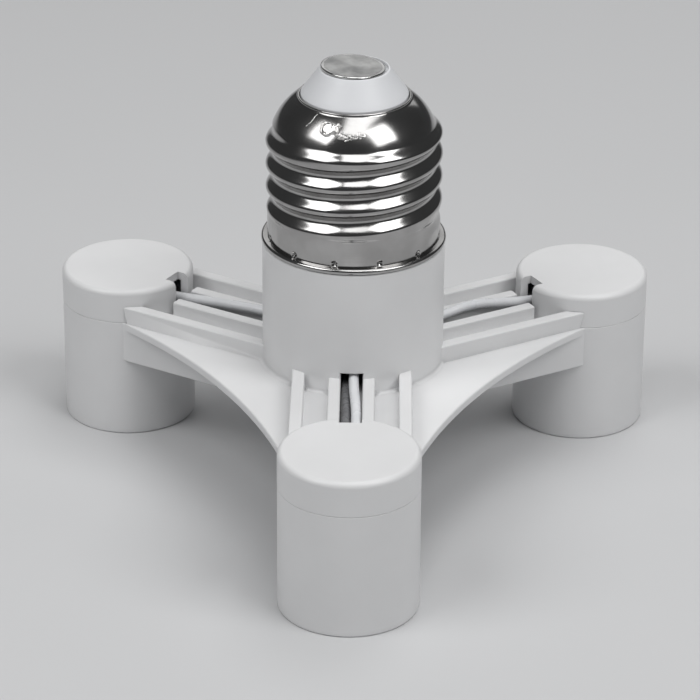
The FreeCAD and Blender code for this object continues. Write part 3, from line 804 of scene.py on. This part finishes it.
def dent_depth(height, turn, settings):
    sector = math.tau / settings.dents
    aside = (turn - settings.first_dent + sector / 2) % sector - sector / 2
    away = math.hypot(aside * SKIRT_RADIUS, height - settings.dent_height) / settings.dent_radius
    return settings.dent_depth * (1 - min(away, 1.0) ** 2) ** 2


def shell_section(turn, settings):
    """Closed section of the pressed shell at a turn about its axis, from the bead up and back down inside."""

    def wall(height):
        outline = shell_outline(height)
        return outline - max(outline - ROOT_RADIUS, 0.0) * groove_depth(height, turn, settings)

    section = [(SKIRT_RADIUS - 0.3 * MM, STEM_TOP), *arc(BEAD_CENTRE, BEAD_RADIUS, -90, 95, 12)]
    for rows in OUTER_ROWS:
        section += [(wall(height) - dent_depth(height, turn, settings), height) for height in evenly(*rows)]
    start = math.degrees(math.asin((DOME_START - DOME_CENTRE[1]) / DOME_RADIUS))
    section += arc(DOME_CENTRE, DOME_RADIUS, start, 57.99, 18)
    section += arc(LIP_CENTRE, LIP_RADIUS, 0, 180, 8)
    section.append((8.1 * MM, 61.9 * MM))
    section += arc(DOME_CENTRE, DOME_RADIUS - settings.sheet, 56.5, 27.0, 8)
    section += [(wall(height) - settings.sheet, height) for height in evenly(*INNER_THREAD_ROWS)]
    for height in evenly(*INNER_SKIRT_ROWS):
        section.append((SKIRT_RADIUS - settings.sheet - dent_depth(height, turn, settings), height))
    return section


def shell_turns(settings):
    """Column angles, closer together at the dents."""
    step = math.tau / settings.dents
    share = step / math.radians(30)
    return [
        settings.first_dent + step * dent + math.radians(offset) * share
        for dent in range(settings.dents)
        for offset in DENT_COLUMNS
    ]


class ADAPTER_OT_screw_shell(Operator):
    """Press the screw shell with its rolled bead, crimping dents, thread and dome"""

    bl_idname = "adapter.screw_shell"
    bl_label = "Screw Shell"

    def execute(self, context):
        settings = context.scene.adapter_shell
        verts, faces = turned_ring(lambda turn: shell_section(turn, settings), shell_turns(settings))
        mesh = new_mesh("Pressed screw shell", verts, faces, 60)
        plate = bright_plate("Bright nickel plate", settings.color, settings.dull, (0.02, 0.02, 1.0))
        place_piece("pressed_screw_shell", mesh, plate, "plated", "screw_shell")
        return {"FINISHED"}


# Solder spot on the dome


def ridge(distance, width):
    """Height of a rounded ridge, 1 on its middle line and 0 from its width on."""
    return (1 - min(abs(distance) / width, 1.0) ** 2) ** 2


def solder_parts(u, v):
    """Heights of the dab, of the pulled edge beside it, of the smear and of the stray thread of solder.

    u goes round the dome to the right and v up it, both in millimetres from the middle of the dab.
    """
    turn = math.atan2(v, u)
    edge = 1 + 0.07 * math.sin(3 * turn + 0.7) + 0.05 * math.sin(5 * turn + 2.0)
    away = math.hypot(u / 1.4, v / 1.25) / edge
    crease = 0.09 * (1 - math.cos(turn + 0.5)) * ridge(away - 0.68, 0.16)
    dab = 0.38 * smooth_step((1.05 - away) / 0.35) - crease
    away = math.hypot((u - 1.2) / 1.15, (v - 0.1) / 1.2)
    pulled = 0.3 * smooth_step((1.0 - away) / 0.6)
    ends = smooth_step((u - 0.9) / 0.5) * smooth_step((5.9 - u) / 0.9)
    smear = 0.17 * ends * ridge(v + 0.95 - 0.22 * math.sin(1.7 * u), 0.7)
    ends = smooth_step((v + 0.7) / 0.3) * smooth_step((2.1 - v) / 0.3)
    thread = 0.13 * ends * ridge(u + 3.35 - 0.3 * v - 0.1 * math.sin(3 * v), 0.2)
    return dab, pulled, smear, thread


def solder_height(u, v):
    """Height of the solder above the dome, in millimetres, with the wrinkles that it set in."""
    dab, pulled, smear, thread = solder_parts(u, v)
    folds = noise.noise(Vector((3.0 * u, 1.7 * v, 0.3)))
    lumps = noise.noise(Vector((2.3 * u, 4.5 * v, 4.1))) + 0.6 * noise.noise(Vector((7.0 * u, 8.0 * v, 1.7)))
    height = max(dab * (1 + 0.2 * folds), pulled * (0.85 + 1.3 * folds))
    return max(height, smear * (0.7 + 1.3 * lumps), thread * (0.8 + 0.6 * lumps))


class ADAPTER_OT_solder(Operator):
    """Set the dab of solder on the dome, with its smear"""

    bl_idname = "adapter.solder"
    bl_label = "Solder Spot"

    def execute(self, context):
        settings = context.scene.adapter_solder
        grid = settings.grid / MM
        columns, rows = (range(round(low / grid), round(high / grid)) for low, high in SOLDER_SPANS)
        covered = [
            (column, row)
            for column in columns
            for row in rows
            if max(solder_parts((column + 0.5) * grid, (row + 0.5) * grid)) > SOLDER_FILM
        ]
        corners = {}
        faces = []
        for column, row in covered:
            face = [(column, row), (column + 1, row), (column + 1, row + 1), (column, row + 1)]
            faces.append([corners.setdefault(corner, len(corners)) for corner in face])
        dome_reach = DOME_CENTRE[0] + DOME_RADIUS * math.cos(settings.rise)
        verts = []
        for column, row in corners:
            u = column * grid
            v = row * grid
            turn = settings.turn + u * MM / dome_reach
            rise = settings.rise + v * MM / DOME_RADIUS
            out = DOME_RADIUS + solder_height(u, v) * MM - SOLDER_SUNK
            reach = DOME_CENTRE[0] + out * math.cos(rise)
            height = DOME_CENTRE[1] + out * math.sin(rise)
            verts.append((reach * math.cos(turn), reach * math.sin(turn), height))
        mesh = new_mesh("Solder", verts, faces, 80)
        mesh = with_modifier(mesh, "SOLIDIFY", {"thickness": SOLDER_BACKING, "offset": -1.0})
        place_piece("solder_spot", mesh, set_solder("Set solder", settings.color, settings.dull), "plated")
        return {"FINISHED"}


# Insulator and centre contact


def insulator_section():
    """Closed section of the insulator. Its top has a shallow seat for the contact."""
    hole = 1.3 * MM
    flange = 9.7 * MM
    corner = 0.3 * MM
    neck = 8.0 * MM
    section = [(hole, DOME_FOOT), (flange, DOME_FOOT)]
    section += arc((flange, DOME_FOOT + corner), corner, -90, 0, 4)[1:]
    section += arc((flange, DOME_FOOT + 1.7 * MM), corner, 0, 90, 4)
    section += [(neck + 0.3 * MM, DOME_FOOT + 2.0 * MM), (neck, DOME_FOOT + 2.2 * MM)]
    section += [(neck, 60.5 * MM), (neck, 61.9 * MM)]
    section += arc((7.75 * MM, 62.55 * MM), 0.25 * MM, -10, 33, 4)
    slope_start = section[-1]
    edge = arc((5.05 * MM, 66.2 * MM), corner, 33, 90, 6)
    for share in (0.2, 0.4, 0.6, 0.8):
        radius = slope_start[0] + (edge[0][0] - slope_start[0]) * share
        height = slope_start[1] + (edge[0][1] - slope_start[1]) * share
        section.append((radius, height))
    section += edge
    seat = CONE_TOP - 0.45 * MM
    section += [(5.0 * MM, CONE_TOP), (4.96 * MM, CONE_TOP - 0.1 * MM), (4.95 * MM, CONE_TOP - 0.4 * MM)]
    section += [(4.8 * MM, seat), (hole, seat)]
    return section


def contact_section(radius):
    """Half section of the contact from its underside to its top, about the middle of its top face."""
    under = -0.5 * MM
    section = [(0, under), (radius - 0.15 * MM, under)]
    section += arc((radius - 0.16 * MM, -0.34 * MM), 0.16 * MM, -60, 0, 3)
    section += arc((radius - 0.2 * MM, -0.2 * MM), 0.2 * MM, 0, 90, 5)
    section += [(radius - 0.45 * MM, -0.01 * MM), (radius - 0.6 * MM, -0.05 * MM)]
    section += [(radius - 0.9 * MM, -0.06 * MM), (radius * 0.5, -0.045 * MM)]
    section += [(radius * 0.2, -0.03 * MM), (0, -0.03 * MM)]
    return section


class ADAPTER_OT_tip(Operator):
    """Turn the insulating cone and the centre contact on the tip of the screw cap"""

    bl_idname = "adapter.tip"
    bl_label = "Tip"

    def execute(self, context):
        settings = context.scene.adapter_tip
        # (0.3, 0.3, 0.3) is the colour of the painted shade in the cone's corners
        cone = moulded_plastic("Cone insulator", settings.insulator, (0.3, 0.3, 0.3), 0.42)
        section = insulator_section()
        verts, faces = turned_ring(lambda turn: section, even_turns(CONE_COLUMNS))
        mesh = new_mesh("Insulator cone", verts, faces, 50)
        place_piece("insulator_cone", mesh, cone, "insulator", "cap_insulator")

        rim = settings.disc_radius - 0.4 * MM
        tin = dull_tin("Dull tin plate", settings.contact, settings.contact_dark, rim)
        verts, faces = turned_solid(contact_section(settings.disc_radius), DISC_COLUMNS)
        disc = new_mesh("Centre contact disc", verts, faces, 50)
        lean = settings.disc_radius * math.sin(settings.disc_tilt)
        place = Vector((-settings.disc_shift, 0, DISC_TOP - lean - 0.005 * MM))
        matrix = Matrix.Translation(place) @ Matrix.Rotation(settings.disc_tilt, 4, "Y")
        place_piece("centre_contact_disc", disc, tin, "contact", "centre_contact", matrix=matrix)
        return {"FINISHED"}


# Sleeves in the sockets


def sleeve_section(turn, settings):
    """Closed section of a socket sleeve at a turn about its axis: lip, thread, shoulder and neck."""

    def bore(height):
        lap = (height - SLEEVE_FOOT) / settings.pitch - turn / math.tau
        ends = smooth_step((height - SLEEVE_FOOT - 0.4 * MM) / (1.2 * MM))
        ends *= smooth_step((SLEEVE_SHOULDER - height) / (1.2 * MM))
        return settings.bore - settings.thread_depth * ends * (1 + math.cos(math.tau * lap)) / 2

    wall = settings.sheet
    section = [(SLEEVE_LIP_RADIUS, SLEEVE_FOOT + wall), (SLEEVE_LIP_RADIUS, SLEEVE_FOOT)]
    section.append((settings.bore + 0.2 * MM, SLEEVE_FOOT))
    heights = evenly(SLEEVE_FOOT + 0.2 * MM, SLEEVE_SHOULDER - 0.2 * MM, 0.22 * MM)
    section += [(bore(height), height) for height in heights]
    section.append((settings.bore - 0.05 * MM, SLEEVE_SHOULDER - 0.06 * MM))
    section.append((settings.bore - 0.2 * MM, SLEEVE_SHOULDER))
    section.append((SLEEVE_NECK_RADIUS + 0.15 * MM, SLEEVE_SHOULDER))
    section.append((SLEEVE_NECK_RADIUS, SLEEVE_SHOULDER + 0.15 * MM))
    section += [(SLEEVE_NECK_RADIUS, SOCKET_FLOOR), (SLEEVE_NECK_RADIUS + wall, SOCKET_FLOOR)]
    section.append((SLEEVE_NECK_RADIUS + wall, SLEEVE_SHOULDER + wall))
    section.append((settings.bore + wall, SLEEVE_SHOULDER + wall))
    section += [(bore(height) + wall, height) for height in reversed(heights[2:])]
    section.append((settings.bore + wall, SLEEVE_FOOT + wall))
    return section


def tab_box(turn, first):
    """Vertices and faces of a tab that goes up through the socket's floor, with clipped top corners."""
    half = 1.2 * MM
    low = SOCKET_FLOOR - 0.3 * MM
    high = PLATE_TOP + 2.2 * MM
    clip = 0.4 * MM
    right = [(half, low), (half, high - clip), (half - clip, high)]
    outline = [(-half, low), *right, (clip - half, high), (-half, high - clip)]
    verts = []
    for radius in (SLEEVE_NECK_RADIUS, SLEEVE_NECK_RADIUS + 0.3 * MM):
        for aside, height in outline:
            x = radius * math.cos(turn) - aside * math.sin(turn)
            y = radius * math.sin(turn) + aside * math.cos(turn)
            verts.append((x, y, height))
    count = len(outline)
    faces = [tuple(range(first, first + count)), tuple(range(first + 2 * count - 1, first + count - 1, -1))]
    for corner in range(count):
        after = (corner + 1) % count
        faces.append((first + corner, first + count + corner, first + count + after, first + after))
    return verts, faces


class ADAPTER_OT_sleeves(Operator):
    """Press the threaded sleeves that take the lamps, and finish the brass pieces behind them"""

    bl_idname = "adapter.sleeves"
    bl_label = "Socket Sleeves"

    def execute(self, context):
        settings = context.scene.adapter_socket
        shell = context.scene.adapter_shell
        plate = bright_plate("Socket plate", shell.color, shell.dull, (0.05, 0.05, 1.0))
        verts, faces = turned_ring(lambda turn: sleeve_section(turn, settings), even_turns(SLEEVE_COLUMNS))
        for tab_turn in TAB_TURNS:
            tab_verts, tab_faces = tab_box(math.radians(tab_turn), len(verts))
            verts += tab_verts
            faces += tab_faces
        for arm, turn in SOCKETS.items():
            name = f"threaded_sleeve_{arm}"
            mesh = new_mesh("Threaded sleeve", verts, faces, 50)
            mesh.transform(Matrix.Rotation(math.radians(turn + 90), 4, "Z"))
            matrix = Matrix.Translation(socket_centre(arm))
            place_piece(name, mesh, plate, "plated", f"socket_sleeve_{arm}", matrix=matrix)
        brass = sheet_brass("Rolled brass", settings.brass, settings.brass_dull)
        brass_nodes = [f"{kind}_{arm}" for kind in ("contact_tongue", "tongue_rivet") for arm in SOCKETS]
        finish_nodes([*brass_nodes, "live_splice", "neutral_splice"], brass)
        return {"FINISHED"}


# Leads


def finish_nodes(names, material):
    """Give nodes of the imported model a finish."""
    for name in names:
        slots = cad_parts[name].material_slots
        if not slots:
            raise RuntimeError(f"{name} has no material slot")
        for slot in slots:
            slot.material = material


class ADAPTER_OT_leads(Operator):
    """Give the leads their insulation"""

    bl_idname = "adapter.leads"
    bl_label = "Leads"

    def execute(self, context):
        settings = context.scene.adapter_lead
        white = lead_cover("White lead", settings.white, toned(settings.white, 0.93))
        dark = lead_cover("Dark lead", settings.dark, toned(settings.dark, 1.6))
        finish_nodes([*(f"live_lead_{arm}" for arm in SOCKETS), "live_tail"], white)
        finish_nodes([*(f"neutral_lead_{arm}" for arm in SOCKETS), "neutral_tail"], dark)
        return {"FINISHED"}


# Stage


def add_softbox(name, place, width, height, watts):
    light = bpy.data.lights.new(name, "AREA")
    light.shape = "RECTANGLE"
    light.size = width
    light.size_y = height
    light.energy = watts
    box = bpy.data.objects.new(name, light)
    bpy.context.scene.collection.objects.link(box)
    box.location = place
    box.rotation_euler = (Vector(place) - Vector(SOFTBOX_AIM)).to_track_quat("Z", "Y").to_euler()


def floor_finish(color):
    """Matt painted board with a very fine tooth."""
    material, tree, shader = new_material("Matt board", color, Roughness=0.85, Specular_IOR_Level=0.2)
    mottle = mottled(tree, color, toned(color, 0.985), patches=9.0)
    tree.links.new(mottle.outputs["Color"], shader.inputs["Base Color"])
    grain_bump(tree, shader, grains=900.0, distance=0.05 * MM, strength=0.2)
    return material


class ADAPTER_OT_stage(Operator):
    """Set the floor, the soft lights and the camera"""

    bl_idname = "adapter.stage"
    bl_label = "Stage"

    def execute(self, context):
        settings = context.scene.adapter_stage
        verts = [(0, 0, 0)]
        for turn in even_turns(FLOOR_SIDES):
            verts.append((FLOOR_RADIUS * math.cos(turn), FLOOR_RADIUS * math.sin(turn), 0))
        faces = [(0, 1 + side, 1 + (side + 1) % FLOOR_SIDES) for side in range(FLOOR_SIDES)]
        mesh = bpy.data.meshes.new("Floor")
        mesh.from_pydata(verts, [], faces)
        mesh.materials.append(floor_finish(settings.floor))
        floor = bpy.data.objects.new("floor", mesh)
        context.scene.collection.objects.link(floor)

        world = bpy.data.worlds.new("Quiet room")
        world.use_nodes = True
        world.node_tree.nodes["Background"].inputs["Color"].default_value = with_alpha(settings.world)
        context.scene.world = world

        for side, place, width, height in SOFTBOXES:
            add_softbox(f"{side} softbox", place, width, height, getattr(settings, f"{side.lower()}_power"))

        away = Vector(
            (
                math.sin(settings.azimuth) * math.cos(settings.elevation),
                -math.cos(settings.azimuth) * math.cos(settings.elevation),
                math.sin(settings.elevation),
            )
        )
        level = Vector((0, 0, 1)).cross(away).normalized()
        upright = away.cross(level)
        cos_roll = math.cos(settings.roll)
        sin_roll = math.sin(settings.roll)
        right = level * cos_roll + upright * sin_roll
        up = upright * cos_roll - level * sin_roll
        place = Vector(settings.target) + away * settings.distance
        lens = bpy.data.cameras.new("Camera")
        lens.lens = settings.lens
        lens.sensor_width = SENSOR_WIDTH
        camera = bpy.data.objects.new("Camera", lens)
        context.scene.collection.objects.link(camera)
        camera.matrix_world = Matrix(
            (
                (right.x, up.x, away.x, place.x),
                (right.y, up.y, away.y, place.y),
                (right.z, up.z, away.z, place.z),
                (0, 0, 0, 1),
            )
        )
        context.scene.camera = camera
        context.scene.view_settings.view_transform = "Standard"
        return {"FINISHED"}


class ADAPTER_PT_build(Panel):
    """Builds the adapter's looks piece by piece"""

    bl_label = "Lamp Socket Adapter"
    bl_space_type = "VIEW_3D"
    bl_region_type = "UI"
    bl_category = "Adapter"

    def draw(self, context):
        for operator in OPERATORS:
            self.layout.operator(operator.bl_idname)


SETTINGS = {
    "adapter_moulding": MouldingSettings,
    "adapter_shell": ShellSettings,
    "adapter_solder": SolderSettings,
    "adapter_tip": TipSettings,
    "adapter_socket": SocketSettings,
    "adapter_lead": LeadSettings,
    "adapter_stage": StageSettings,
}
OPERATORS = (
    ADAPTER_OT_mouldings,
    ADAPTER_OT_screw_shell,
    ADAPTER_OT_solder,
    ADAPTER_OT_tip,
    ADAPTER_OT_sleeves,
    ADAPTER_OT_leads,
    ADAPTER_OT_stage,
)


def register():
    for name, group in SETTINGS.items():
        bpy.utils.register_class(group)
        setattr(bpy.types.Scene, name, PointerProperty(type=group))
    for operator in OPERATORS:
        bpy.utils.register_class(operator)
    bpy.utils.register_class(ADAPTER_PT_build)


def unregister():
    bpy.utils.unregister_class(ADAPTER_PT_build)
    for operator in reversed(OPERATORS):
        bpy.utils.unregister_class(operator)
    for name, group in reversed(SETTINGS.items()):
        delattr(bpy.types.Scene, name)
        bpy.utils.unregister_class(group)


def main():
    register()
    bpy.ops.adapter.mouldings()
    bpy.ops.adapter.screw_shell()
    bpy.ops.adapter.solder()
    bpy.ops.adapter.tip()
    bpy.ops.adapter.sleeves()
    bpy.ops.adapter.leads()
    bpy.ops.adapter.stage()


if __name__ == "__main__":
    main()
